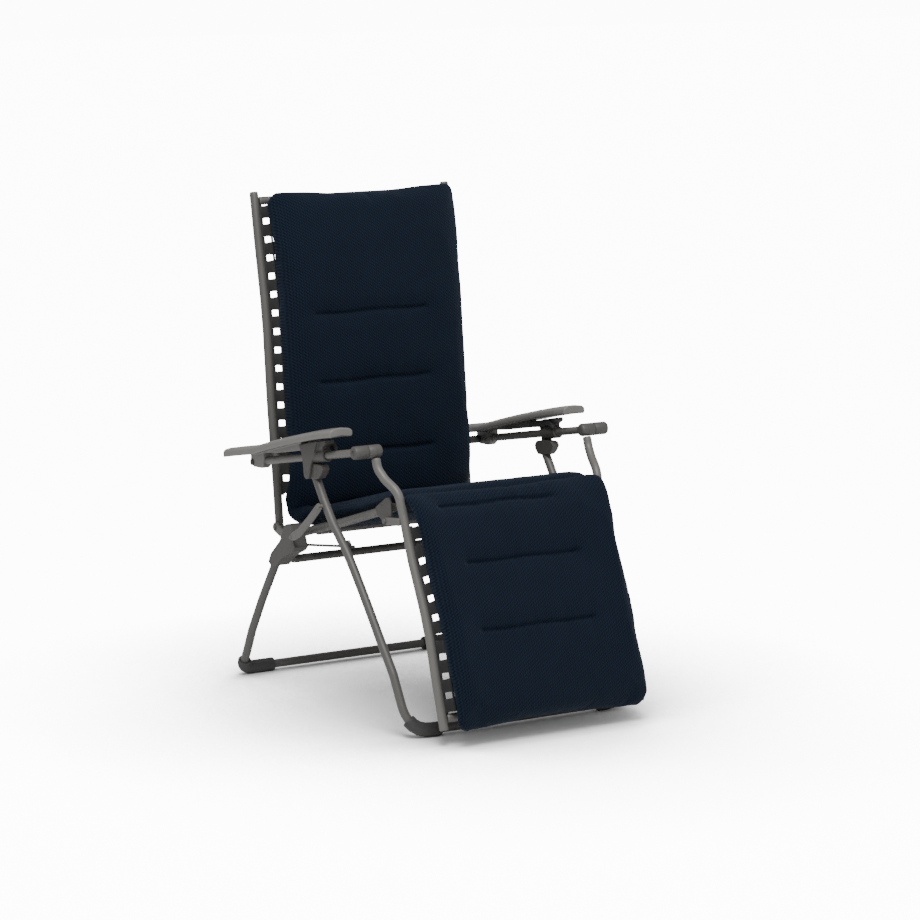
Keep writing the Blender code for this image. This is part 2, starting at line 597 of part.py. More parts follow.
for side, sx in SIDES:
    finish(lacing("back_lacing_" + side, sx, BACK_RAIL, 0.085, 16, 0.0425, 0.028,
                  (0.2366, 0.020), (0.2480, 0.004), 1), "rubber_black", BACK_PIVOT)
    finish(lacing("seat_lacing_" + side, sx, SEAT_RAIL, 0.070, 8, 0.0425, 0.028,
                  (0.2278, -0.004), (0.2394, -0.004), -1), "rubber_black", KNEE)
    finish(lacing("legrest_lacing_" + side, sx, LEG_RAIL[4:], 0.030, 10, 0.0425, 0.028,
                  (0.2366, 0.020), (0.2480, 0.004), -1), "rubber_black", SEAT_FRONT)

for obj in bpy.data.objects:
    obj.location.y += ORIGIN_SHIFT_Y
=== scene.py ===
"""Looks for the zero gravity recliner: tubes, mouldings, rubber lacing and padded mesh cushions."""
import json
import math

import bmesh
import bpy
import numpy as np
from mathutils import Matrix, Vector, noise


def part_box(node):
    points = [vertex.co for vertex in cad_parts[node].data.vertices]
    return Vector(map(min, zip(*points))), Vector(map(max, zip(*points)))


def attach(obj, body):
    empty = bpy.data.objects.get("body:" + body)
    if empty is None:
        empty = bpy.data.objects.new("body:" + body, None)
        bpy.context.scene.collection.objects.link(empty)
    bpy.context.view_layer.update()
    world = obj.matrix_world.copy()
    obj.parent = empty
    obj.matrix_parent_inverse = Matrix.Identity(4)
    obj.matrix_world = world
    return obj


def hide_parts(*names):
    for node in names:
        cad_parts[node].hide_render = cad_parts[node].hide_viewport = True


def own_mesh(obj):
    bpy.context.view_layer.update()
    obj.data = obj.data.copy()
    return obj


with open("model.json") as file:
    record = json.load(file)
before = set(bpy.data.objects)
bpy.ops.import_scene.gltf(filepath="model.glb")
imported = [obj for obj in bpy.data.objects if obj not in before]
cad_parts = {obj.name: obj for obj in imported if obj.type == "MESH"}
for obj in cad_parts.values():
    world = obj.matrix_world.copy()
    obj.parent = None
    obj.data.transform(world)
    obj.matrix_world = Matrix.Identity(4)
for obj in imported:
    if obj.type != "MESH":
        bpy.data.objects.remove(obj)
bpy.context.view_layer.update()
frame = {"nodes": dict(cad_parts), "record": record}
NODES = frame["nodes"]

brace_lo, brace_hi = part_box("rear_cross_brace")
SHIFT = 0.5 * (brace_lo.y + brace_hi.y) - 0.159     # profile frame to row frame along Y
SIDES = (("left", 1), ("right", -1))

# Side profiles, (y, z) in the profile frame, the same as the CAD part's
TUBE_R, ROD_R, BRACE_R, WIRE_R = 0.010, 0.009, 0.0095, 0.0030
X_BACK, X_SEAT, X_ARM, X_WIRE = 0.259, 0.250, 0.309, 0.2672
KNEE, SCISSOR, BACK_PIVOT = (0.150, 0.350), (-0.064, 0.472), (0.224, 0.374)
SEAT_FRONT, ROD_REAR, ROD_FRONT = (-0.257, 0.463), (0.2535, 0.5265), (-0.2275, 0.6155)
REAR_LEG = [(0.140, 0.343), (0.178, 0.306), (0.251, 0.199), (0.301, 0.119), (0.331, 0.065)]
REAR_LEG_X = [0.300, 0.300, 0.300, 0.299, 0.296]
REAR_BAR = (0.364, 0.0152)
FRONT_LEG = [(-0.0200, 0.5320), (-0.055, 0.483), (-0.094, 0.437), (-0.146, 0.384),
             (-0.176, 0.344), (-0.223, 0.280), (-0.283, 0.194), (-0.325, 0.135)]
FRONT_LEG_X = [0.309, 0.309, 0.309, 0.306, 0.303, 0.300, 0.296, 0.293]
FRONT_BAR = (-0.384, 0.0152)
SEAT_RAIL = [(0.158, 0.368), (-0.046, 0.426), (-0.263, 0.493)]
BACK_RAIL = [(0.236, 0.363), (0.249, 0.479), (0.271, 0.640), (0.289, 0.825),
             (0.299, 0.893), (0.326, 1.030), (0.346, 1.140)]
LEG_RAIL = [(-0.233, 0.6003), (-0.240, 0.578), (-0.262, 0.556), (-0.300, 0.532), (-0.313, 0.484),
            (-0.349, 0.390), (-0.398, 0.288), (-0.423, 0.226), (-0.447, 0.142), (-0.481, 0.036)]
LEG_RAIL_X = [0.280, 0.280, 0.274, 0.263] + [X_BACK] * 6
STRUT = [(0.062, 0.3815), (0.030, 0.3960), (-0.018, 0.433), SCISSOR]
BACK_PAD = [(0.2220, 0.4010, 0.014), (0.2170, 0.4180, 0.018), (0.2090, 0.4700, 0.020),
            (0.2070, 0.5400, 0.021), (0.2170, 0.6500, 0.022), (0.2340, 0.8100, 0.022),
            (0.2430, 0.8950, 0.022), (0.2680, 1.0300, 0.022), (0.2850, 1.1050, 0.020),
            (0.2980, 1.1440, 0.017)]
SEAT_PAD = [(0.1420, 0.4030, 0.014), (0.1280, 0.4055, 0.016), (0.1000, 0.4110, 0.018),
            (0.0200, 0.4290, 0.021), (-0.0900, 0.4560, 0.022), (-0.1800, 0.4830, 0.021),
            (-0.2320, 0.4980, 0.019)]
LEG_PAD = [(-0.2840, 0.5090, 0.016), (-0.3060, 0.5090, 0.019), (-0.3280, 0.4930, 0.021),
           (-0.3570, 0.4460, 0.021), (-0.3850, 0.3860, 0.021), (-0.4330, 0.2870, 0.021),
           (-0.4590, 0.2230, 0.021), (-0.4870, 0.1350, 0.021), (-0.5050, 0.0700, 0.019),
           (-0.5110, 0.0340, 0.016)]
BACK_ROLL = [(0.2240, 0.4230, 0.018), (0.2120, 0.4040, 0.018), (0.1960, 0.3960, 0.017),
             (0.1720, 0.3960, 0.016), (0.1440, 0.4020, 0.016)]
FRONT_ROLL = [(-0.2050, 0.4900, 0.019), (-0.2300, 0.4980, 0.019), (-0.2560, 0.5040, 0.018),
              (-0.2840, 0.5080, 0.018), (-0.3080, 0.5060, 0.018)]
PLATE_MID = [(0.3750, 0.5310), (0.300, 0.5455), (0.220, 0.5600), (0.150, 0.5800), (0.079, 0.5990),
             (0.010, 0.6160), (-0.050, 0.6300), (-0.100, 0.6405), (-0.137, 0.6470)]
PLATE_SHARE = [0.60, 0.93, 1.0, 1.0, 1.0, 1.0, 1.0, 0.98, 0.86]
CUP = [(-0.066, 0.554), (-0.058, 0.563), (-0.020, 0.562), (0.004, 0.556), (0.011, 0.546),
       (0.008, 0.536), (-0.004, 0.5255), (-0.030, 0.527), (-0.046, 0.531), (-0.058, 0.542)]
KNEE_SHELL = [(0.108, 0.401), (0.096, 0.406), (0.084, 0.404), (0.076, 0.393), (0.070, 0.378),
              (0.066, 0.368), (0.060, 0.356), (0.072, 0.345), (0.098, 0.334), (0.120, 0.322),
              (0.148, 0.300), (0.170, 0.296), (0.184, 0.304), (0.172, 0.326), (0.144, 0.350),
              (0.130, 0.362), (0.118, 0.382)]
HOOK = [(0.262, 0.5520), (0.202, 0.5640), (0.199, 0.5450), (0.202, 0.5250), (0.212, 0.5175),
        (0.248, 0.5160), (0.262, 0.5230)]

PLATE_X, PLATE_HALF_WIDTH, PLATE_HALF = 0.311, 0.034, 0.0096
PLATE_LIFT, PLATE_CROWN, PLATE_SIDES = 0.002, 0.005, 24
PLATE_RAIL = [(0.205, 0.5540), (0.205, 0.5620), (0.030, 0.6060), (0.030, 0.5840), (0.130, 0.5650)]

# Cross tubes: their ends and bends (x, y, z); lugs: distance from the middle and foot
BRACE_END, BRACE_BEND = (0.2832, 0.153, 0.316), (0.266, 0.159, 0.309)
SEAT_CROSS, BACK_CROSS = (0.2397, 0.100, 0.3815), (0.2487, 0.3421, 1.119)
LEG_CROSS = (0.2487, -0.4730, 0.0610)
BACK_LUG_X, BACK_LUG_FOOT = 0.2681, (0.2400, 0.3760)
LEG_LUG_X, LEG_LUG_FOOT = 0.2695, (-0.3165, 0.4700)
STAY_BEND, STAY_FRONT, STAY_HOOK = (0.098, 0.352), (-0.118, 0.383), (-0.1185, 0.3832)

# Turned parts: (x, radius) from the inner end outwards
KNEE_PIN = [(0.2698, 0.0055), (0.2703, 0.0062), (0.2733, 0.0062), (0.2735, 0.0040),
            (0.2793, 0.0040), (0.2793, 0.0068), (0.2830, 0.0068), (0.2832, 0.0040),
            (0.2885, 0.0040)]
SCISSOR_PIN = [(0.2988, 0.0040), (0.3290, 0.0040)]
TEE_INNER = [(0.2645, 0.0085), (0.2650, 0.0110), (0.2668, 0.0135), (0.2700, 0.0148),
             (0.2800, 0.0148), (0.2806, 0.0142), (0.2816, 0.0142), (0.2822, 0.0148),
             (0.2988, 0.0148), (0.2994, 0.0143)]
TEE_OUTER = [(0.3003, 0.0143), (0.3009, 0.0148), (0.3310, 0.0148), (0.3338, 0.0138),
             (0.3350, 0.0118), (0.3350, 0.0060), (0.3335, 0.0056), (0.3335, 0.0020)]
ROD_SPACER = [(0.2466, 0.0036), (0.2472, 0.0048), (0.2486, 0.0048), (0.2486, 0.0040),
              (0.2697, 0.0040), (0.2697, 0.0085), (0.2703, 0.0092), (0.2978, 0.0092),
              (0.2985, 0.0085), (0.2985, 0.0040), (0.3203, 0.0040), (0.3203, 0.0078),
              (0.3220, 0.0078), (0.3230, 0.0055)]

# Lacing: strap spacing and height, the tie between straps, the hem cord and the edge strip
STRAP_PITCH, STRAP_TALL, STRAP_START, STRAP_THICK = 0.0425, 0.0300, 0.014, 0.0026
TIE_OFFSET, TIE_TALL, TIE_THICK = 0.0212, 0.0130, 0.0022
HEM_STEPS, HEM_R = 60, 0.0026
STRIP_X, STRIP_OUT, STRIP_R, STRIP_MARGIN = 0.2472, 0.0022, 0.0042, 0.004
STRAP_RING = [(-1.0, -0.5), (-1.0, 0.5), (-0.93, 1.0), (0.0, 1.0), (0.93, 1.0), (1.0, 0.5),
              (1.0, -0.5), (0.93, -1.0), (0.0, -1.0), (-0.93, -1.0)]

# Cushions: mesh, cloth and sewing
SMOOTH_ROWS, COLUMNS, RIM_POWER, DROP_POWER = 4, 90, 14, 7
COVER_VOXEL, CLOTH_FRAMES, CLOTH_PRESSURE = 0.0050, 14, 4.0
SEAM_HALF, SEAM_DEPTH, SEAM_WIDTH = 0.157, 0.0080, 0.0045
HOLLOW_DEPTH, HOLLOW_WIDTH, GATHER_DEPTH, GATHER_WIDTH = 0.0065, 0.024, 0.0030, 0.026
WAVE_DEPTH = 0.0019
WALE_PITCH, ROW_PITCH = 0.0060, 0.0074          # knit of the cover

FLOOR_HALF, FLOOR_Z = 30, -0.0005
BACKDROP, SKY = 12.0, 0.56                      # brightness behind the object, and of the light


# ---- Node materials ---------------------------------------------------------------------
def node(tree, kind, **settings):
    """Adds a shader node; keys that are input names are set or linked, others are attributes."""
    n = tree.nodes.new(kind)
    for key, value in settings.items():
        if key.startswith("i_"):
            socket = n.inputs[int(key[2:])]
        elif key.replace("_", " ").title() in n.inputs:
            socket = n.inputs[key.replace("_", " ").title()]
        else:
            setattr(n, key, value)
            continue
        if isinstance(value, bpy.types.NodeSocket):
            tree.links.new(value, socket)
        else:
            socket.default_value = value
    return n


def calc(tree, operation, a, b=0.0):
    return node(tree, "ShaderNodeMath", operation=operation, i_0=a, i_1=b).outputs[0]


def new_material(name, roughness, metallic=0.0, specular=0.5):
    mat = bpy.data.materials.new(name)
    mat.use_nodes = True
    shader = mat.node_tree.nodes["Principled BSDF"]
    shader.inputs["Roughness"].default_value = roughness
    shader.inputs["Metallic"].default_value = metallic
    shader.inputs["Specular IOR Level"].default_value = specular
    return mat, mat.node_tree, shader


def colour_mix(tree, factor, low, high):
    ramp = node(tree, "ShaderNodeMix", data_type="RGBA")
    tree.links.new(factor, ramp.inputs[0])
    ramp.inputs[6].default_value = (*low, 1.0)
    ramp.inputs[7].default_value = (*high, 1.0)
    return ramp.outputs[2]


def grained(name, colour, roughness, metallic=0.0, grain=1400.0, depth=0.0001, spread=0.14,
            wear=0.35):
    """Painted, moulded or plated surface: fine grain, cloudy tone and a few rubbed places."""
    mat, tree, shader = new_material(name, roughness, metallic)
    coords = node(tree, "ShaderNodeTexCoord").outputs["Object"]
    cloudy = node(tree, "ShaderNodeTexNoise", vector=coords, scale=22.0, detail=3.0).outputs[0]
    fine = node(tree, "ShaderNodeTexNoise", vector=coords, scale=grain, detail=2.0).outputs[0]
    rubbed = node(tree, "ShaderNodeTexNoise", vector=coords, scale=75.0, detail=4.0).outputs[0]
    tone = calc(tree, "ADD", calc(tree, "MULTIPLY", cloudy, 0.7),
                calc(tree, "MULTIPLY", fine, 0.3))
    low = [c * (1 - spread) for c in colour]
    high = [c * (1 + spread) for c in colour]
    base = colour_mix(tree, tone, low, high)
    tree.links.new(base, shader.inputs["Base Color"])
    patch = calc(tree, "MAXIMUM", calc(tree, "SUBTRACT", rubbed, 0.62), 0.0)
    rough = calc(tree, "SUBTRACT", roughness + 0.05, calc(tree, "MULTIPLY", patch, wear))
    tree.links.new(rough, shader.inputs["Roughness"])
    bump = node(tree, "ShaderNodeBump", strength=0.5, distance=depth, height=fine)
    tree.links.new(bump.outputs[0], shader.inputs["Normal"])
    return mat


def knitted(name, dark, light):
    """Padded spacer mesh: slanting cells of a knit over a slowly changing tone."""
    mat, tree, shader = new_material(name, 0.88, 0.0, 0.12)
    coords = node(tree, "ShaderNodeAttribute", attribute_name="weave").outputs["Vector"]
    parts = node(tree, "ShaderNodeSeparateXYZ", vector=coords)
    x, s = parts.outputs[0], parts.outputs[1]
    wobble = node(tree, "ShaderNodeTexNoise", vector=coords, scale=60.0, detail=1.0).outputs[0]
    lean = calc(tree, "MULTIPLY", wobble, 3.0)
    wales = calc(tree, "MULTIPLY", x, math.tau / WALE_PITCH)
    rows = calc(tree, "MULTIPLY", s, math.tau / ROW_PITCH)
    zigzag = calc(tree, "MULTIPLY", calc(tree, "SINE", rows), 1.3)
    a = calc(tree, "SINE", calc(tree, "ADD", calc(tree, "ADD", wales, zigzag), lean))
    b = calc(tree, "SINE", calc(tree, "ADD", calc(tree, "MULTIPLY", wales, 0.5), rows))
    height = calc(tree, "ADD", calc(tree, "MULTIPLY", a, 0.34), calc(tree, "MULTIPLY", b, 0.26))
    height = calc(tree, "ADD", height, 0.5)
    cloudy = node(tree, "ShaderNodeTexNoise", vector=coords, scale=9.0, detail=3.0).outputs[0]
    tone = calc(tree, "ADD", calc(tree, "MULTIPLY", height, 0.8),
                calc(tree, "MULTIPLY", cloudy, 0.2))
    tree.links.new(colour_mix(tree, tone, dark, light), shader.inputs["Base Color"])
    bump = node(tree, "ShaderNodeBump", strength=0.75, distance=0.0016, height=height)
    tree.links.new(bump.outputs[0], shader.inputs["Normal"])
    shader.inputs["Sheen Weight"].default_value = 0.06
    shader.inputs["Sheen Roughness"].default_value = 0.5
    shader.inputs["Sheen Tint"].default_value = (0.55, 0.70, 1.0, 1.0)
    return mat


TAUPE = grained("powder_coat_taupe", (0.118, 0.113, 0.106), 0.40)
# Darker copy of the taupe powder coat for the legs, brace and back tubes: painted shade standing in
# for the shade that falls on them.
TAUPE_PAINTED_SHADE = grained("powder_coat_dark", (0.082, 0.079, 0.074), 0.42)
PLASTIC = grained("plastic_taupe", (0.066, 0.063, 0.059), 0.50, grain=900.0, depth=0.00015)
DARK_PLASTIC = grained("plastic_dark", (0.034, 0.033, 0.033), 0.55, grain=900.0, depth=0.00015)
RUBBER = grained("rubber_black", (0.008, 0.008, 0.009), 0.60, grain=700.0, spread=0.25)
# Lighter copy of the taupe powder coat for the arm plates: a painted highlight for the light
# falling on their tops.
PLATE_PAINTED_LIGHT = grained("powder_coat_taupe_painted_light", (0.165, 0.159, 0.150), 0.38)
ZINC = grained("steel_zinc", (0.42, 0.42, 0.41), 0.33, metallic=1.0, grain=500.0)
WORN_WIRE = grained("plated_wire", (0.16, 0.16, 0.155), 0.40, metallic=0.8, grain=500.0)
FABRIC = knitted("mesh_fabric_navy", (0.0003, 0.0008, 0.0022), (0.0050, 0.0125, 0.0280))
LOOK = {"powder_coat_taupe": TAUPE, "powder_coat_dark": TAUPE_PAINTED_SHADE, "plastic_taupe": PLASTIC,
        "plastic_dark": DARK_PLASTIC, "rubber_black": RUBBER, "mesh_fabric_navy": FABRIC,
        "steel_zinc": ZINC}
SLOT_OF = {s["node"]: s["material_slot"] for s in frame["record"]["subparts"]}
LOOK_OF = {n: LOOK[s] for n, s in SLOT_OF.items()}
LOOK_OF.update({n: TAUPE_PAINTED_SHADE for n in NODES if n.startswith(("legrest_pin", "back_pin"))})
for name, obj in NODES.items():
    if not obj.material_slots:
        obj.data.materials.append(LOOK_OF[name])
    for slot in obj.material_slots:
        slot.material = LOOK_OF[name]


# ---- Mesh helpers -----------------------------------------------------------------------
def build(name, verts, faces, material, angle=40.0):
    mesh = bpy.data.meshes.new(name)
    mesh.from_pydata([tuple(v) for v in verts], [], faces)
    bm = bmesh.new()
    bm.from_mesh(mesh)
    bmesh.ops.recalc_face_normals(bm, faces=bm.faces)
    bm.to_mesh(mesh)
    bm.free()
    obj = bpy.data.objects.new(name, mesh)
    bpy.context.scene.collection.objects.link(obj)
    mesh.materials.append(material)
    mesh.shade_smooth()
    mesh.set_sharp_from_angle(angle=math.radians(angle))
    return obj


def stands_for(obj, body, slot, *nodes):
    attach(obj, body)
    if nodes:
        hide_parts(*nodes)
    return obj


def at(x, y, z):
    return Vector((x, y + SHIFT, z))


def path_at(sx, profile, xs):
    xs = xs if hasattr(xs, "__len__") else [xs] * len(profile)
    return [at(sx * x, y, z) for x, (y, z) in zip(xs, profile)]


def rounded(points, radius, steps=10):
    """Polyline with each inner corner replaced by an arc."""
    pts = [Vector(p) for p in points]
    out = [pts[0]]
    for prev, here, nxt in zip(pts, pts[1:], pts[2:]):
        to_prev, to_next = prev - here, nxt - here
        turn = math.pi - to_prev.angle(to_next)
        if turn < 0.005:
            out.append(here)
            continue
        reach = min(radius * math.tan(turn / 2), 0.48 * to_prev.length, 0.48 * to_next.length)
        start = here + to_prev.normalized() * reach
        end = here + to_next.normalized() * reach
        count = max(2, min(steps, math.ceil(turn / 0.06)))
        for i in range(count + 1):
            t = i / count
            out.append(start.lerp(here, t).lerp(here.lerp(end, t), t))
    out.append(pts[-1])
    return out


def ring_faces(rings, sides):
    """Faces that join rings of points one after another, and close both ends."""
    faces = []
    for i in range(rings - 1):
        for k in range(sides):
            n = (k + 1) % sides
            faces.append((i * sides + k, i * sides + n, (i + 1) * sides + n, (i + 1) * sides + k))
    return faces + [tuple(range(sides)), tuple((rings - 1) * sides + k for k in range(sides))]


def swept(points, radius, sides=28, squash=1.0, dome=0.35, radii=None):
    """Verts and faces of a bar along a path, with rounded-over ends."""
    pts = [Vector(p) for p in points]
    size = list(radii) if radii else [radius] * len(pts)
    first, last = (pts[0] - pts[1]).normalized(), (pts[-1] - pts[-2]).normalized()
    caps = [(1.0, 0.80), (0.6, 0.92), (0.2, 0.985)] if dome else []
    head = [pts[0] - first * (radius * dome * (1 - k)) for k, _ in caps]
    tail = [pts[-1] - last * (radius * dome * (1 - k)) for k, _ in caps][::-1]
    sizes = ([size[0] * w for _, w in caps] + [size[0]] + size[1:-1] + [size[-1]] +
             [size[-1] * w for _, w in caps][::-1])
    if dome:
        line = head + [pts[0] - first * radius * dome] + pts[1:-1]
        line += [pts[-1] - last * radius * dome] + tail
    else:
        line = pts
        sizes = size
    verts = []
    side = None
    for i, p in enumerate(line):
        a, b = line[max(i - 1, 0)], line[min(i + 1, len(line) - 1)]
        t = (b - a).normalized()
        if side is None:
            side = t.orthogonal() if abs(t.x) > 0.9 else Vector((1, 0, 0)) - t * t.x
        side = (side - t * side.dot(t)).normalized()
        up = t.cross(side)
        for k in range(sides):
            angle = math.tau * (k + 0.5) / sides
            verts.append(p + sizes[i] * (math.cos(angle) * side * squash + math.sin(angle) * up))
    return verts, ring_faces(len(line), sides)


def merged(parts):
    """One verts and faces list out of several."""
    verts, faces = [], []
    for v, f in parts:
        base = len(verts)
        verts += v
        faces += [tuple(i + base for i in face) for face in f]
    return verts, faces


def turned(centre, sx, profile, steps=32):
    """Body of revolution about an X axis through centre; profile is [(x, radius), ...]."""
    cy, cz = centre
    verts = []
    for x, r in profile:
        for k in range(steps):
            a = math.tau * k / steps
            verts.append(at(sx * x, cy + r * math.cos(a), cz + r * math.sin(a)))
    return verts, ring_faces(len(profile), steps)


def tube(name, points, radius, body, slot, node_name, extra=(), **options):
    shape = merged([swept(points, radius, **options), *extra])
    return stands_for(build(name, *shape, LOOK[slot]), body, slot, node_name)


def applied(obj):
    """Modifiers made into the mesh."""
    graph = bpy.context.evaluated_depsgraph_get()
    mesh = bpy.data.meshes.new_from_object(obj.evaluated_get(graph))
    obj.modifiers.clear()
    obj.data = mesh
    return obj


def moulded(name, node_name, body, material, extra=(), voxel=0.0010, smooth=8, ratio=0.25,
            form=None):
    """Moulding: the node's form or its own, with ribs and bosses, its edges melted round."""
    source = NODES[node_name].data
    verts = [v.co.copy() for v in source.vertices]
    faces = [tuple(p.vertices) for p in source.polygons]
    shape = merged([form or (verts, faces), *extra])
    obj = build(name, *shape, material)
    mod = obj.modifiers.new("voxel", "REMESH")
    mod.mode, mod.voxel_size = "VOXEL", voxel
    melt = obj.modifiers.new("melt", "SMOOTH")
    melt.factor, melt.iterations = 0.5, smooth
    thin = obj.modifiers.new("thin", "DECIMATE")
    thin.ratio = ratio
    applied(obj)
    obj.data.shade_smooth()
    return stands_for(obj, body, SLOT_OF[node_name], node_name)


def block(x0, x1, y0, y1, z0, z1):
    verts = [at(x, y, z) for x in (x0, x1) for y in (y0, y1) for z in (z0, z1)]
    faces = [(0, 1, 3, 2), (4, 6, 7, 5), (0, 4, 5, 1), (2, 3, 7, 6), (0, 2, 6, 4), (1, 5, 7, 3)]
    return verts, faces


def prism(outline, sx, x0, x1):
    """(y, z) outline extruded from x0 to x1 on the side sx."""
    n = len(outline)
    verts = [at(sx * x, y, z) for x in (x0, x1) for y, z in outline]
    faces = [tuple(range(n)), tuple(range(n, 2 * n))]
    faces += [(i, (i + 1) % n, n + (i + 1) % n, n + i) for i in range(n)]
    return verts, faces


def plate(sx):
    """Arm plate: a long tongue with a rounded rim, narrow at the rear."""
    line = rounded([Vector((0.0, y, z)) for y, z in PLATE_MID], 0.4, steps=6)
    shares = np.interp([-p.y for p in line], [-y for y, _ in PLATE_MID], PLATE_SHARE)
    ring = [(math.cos(a), math.sin(a)) for a in np.linspace(0, math.tau, PLATE_SIDES + 1)[:-1]]
    verts = []
    for p, share in zip(line, shares):
        for c, d in ring:
            u = math.copysign(abs(c) ** 0.35, c)
            w = math.copysign(abs(d) ** 0.6, d)
            x = PLATE_X + u * PLATE_HALF_WIDTH * share
            verts.append(at(sx * x, p.y, p.z + PLATE_LIFT + w * PLATE_HALF - PLATE_CROWN * u * u))
    return verts, ring_faces(len(line), len(ring))


def screw(centre, sx, x0, x1, radius=0.0045):
    """Domed screw or rivet head standing out from x0 to x1."""
    rise = x1 - x0
    dome = [(x0, radius), (x0 + 0.45 * rise, radius), (x0 + 0.8 * rise, 0.8 * radius),
            (x1, 0.45 * radius)]
    return turned(centre, sx, dome, steps=20)


# ---- Frame tubes ------------------------------------------------------------------------
def leg_loop(profile, xs, bar, bend):
    corner_x = xs[-1] - 0.004
    left = path_at(1, profile, xs) + [at(corner_x, *bar)]
    right = path_at(-1, profile, xs) + [at(-corner_x, *bar)]
    return rounded(left + right[::-1], bend)


def bridge(*ends):
    """Path across the chair through mirrored (x, y, z) points, the outermost first."""
    return [at(-x, y, z) for x, y, z in ends] + [at(*p) for p in ends[::-1]]


tube("rear_legs_fine", leg_loop(REAR_LEG, REAR_LEG_X, REAR_BAR, 0.045), TUBE_R, "rear_frame",
     "powder_coat_dark", "rear_leg_frame")
tube("front_legs_fine", leg_loop(FRONT_LEG, FRONT_LEG_X, FRONT_BAR, 0.070), TUBE_R, "front_frame",
     "powder_coat_dark", "front_leg_frame")
tube("rear_brace_fine", rounded(bridge(BRACE_END, BRACE_BEND), 0.02), BRACE_R, "rear_frame",
     "powder_coat_dark", "rear_cross_brace")
tube("seat_cross_fine", bridge(SEAT_CROSS), TUBE_R, "seat_frame", "powder_coat_taupe",
     "seat_cross_tube")
tube("back_cross_fine", bridge(BACK_CROSS), BRACE_R, "backrest", "powder_coat_dark",
     "back_cross_tube")
tube("legrest_cross_fine", bridge(LEG_CROSS), BRACE_R, "legrest", "powder_coat_taupe",
     "legrest_cross_tube")
ROD_RUN = (Vector(ROD_FRONT) - Vector(ROD_REAR)).normalized()
for side, sx in SIDES:
    tube("seat_tube_fine_" + side, rounded(path_at(sx, SEAT_RAIL, X_SEAT), 0.3), TUBE_R,
         "seat_frame", "powder_coat_taupe", "seat_tube_" + side)
    lug = swept(path_at(sx, [BACK_LUG_FOOT, BACK_PIVOT], BACK_LUG_X), 0.0100, squash=0.5)
    tube("back_tube_fine_" + side, rounded(path_at(sx, BACK_RAIL, X_BACK), 0.5), TUBE_R,
         "backrest", "powder_coat_dark", "back_tube_" + side, extra=[lug], dome=0.5)
    lug = swept(path_at(sx, [LEG_LUG_FOOT, SEAT_FRONT], LEG_LUG_X), 0.0088, squash=0.42)
    tube("legrest_tube_fine_" + side, rounded(path_at(sx, LEG_RAIL, LEG_RAIL_X), 0.05), TUBE_R,
         "legrest", "powder_coat_taupe", "legrest_tube_" + side, extra=[lug])
    start = Vector(ROD_REAR) - ROD_RUN * 0.006
    stop = Vector(ROD_FRONT) - ROD_RUN * 0.0153
    tube("arm_rod_fine_" + side, path_at(sx, [tuple(start), tuple(stop)], X_ARM), ROD_R,
         "arm_rods", "powder_coat_taupe", "arm_rod_" + side, dome=0.7,
         extra=[screw(ROD_REAR, sx, 0.3170, 0.3195, 0.0075)])
    wire = rounded(path_at(sx, [KNEE, KNEE, STAY_BEND, STAY_FRONT, STAY_HOOK],
                           [0.2720, X_WIRE, X_WIRE, X_WIRE, 0.2825]), 0.004)
    pin = turned(KNEE, sx, KNEE_PIN)
    hooked = tube("stay_wire_fine_" + side, wire, WIRE_R, "stay_wires", "steel_zinc",
                  "stay_wire_" + side, extra=[pin], sides=14)
    hooked.data.materials[0] = WORN_WIRE
    strut_line = rounded(path_at(sx, STRUT, 0.3252), 0.06)
    rivets = [screw(SCISSOR, sx, 0.3300, 0.3325, 0.0062),
              screw(STRUT[0], sx, 0.3300, 0.3322, 0.0045)]
    pin = turned(SCISSOR, sx, SCISSOR_PIN)
    tube("strut_fine_" + side, strut_line, 0.0105, "rear_frame", "powder_coat_taupe",
         "strut_" + side, extra=[pin, *rivets], squash=0.52, dome=0.9)

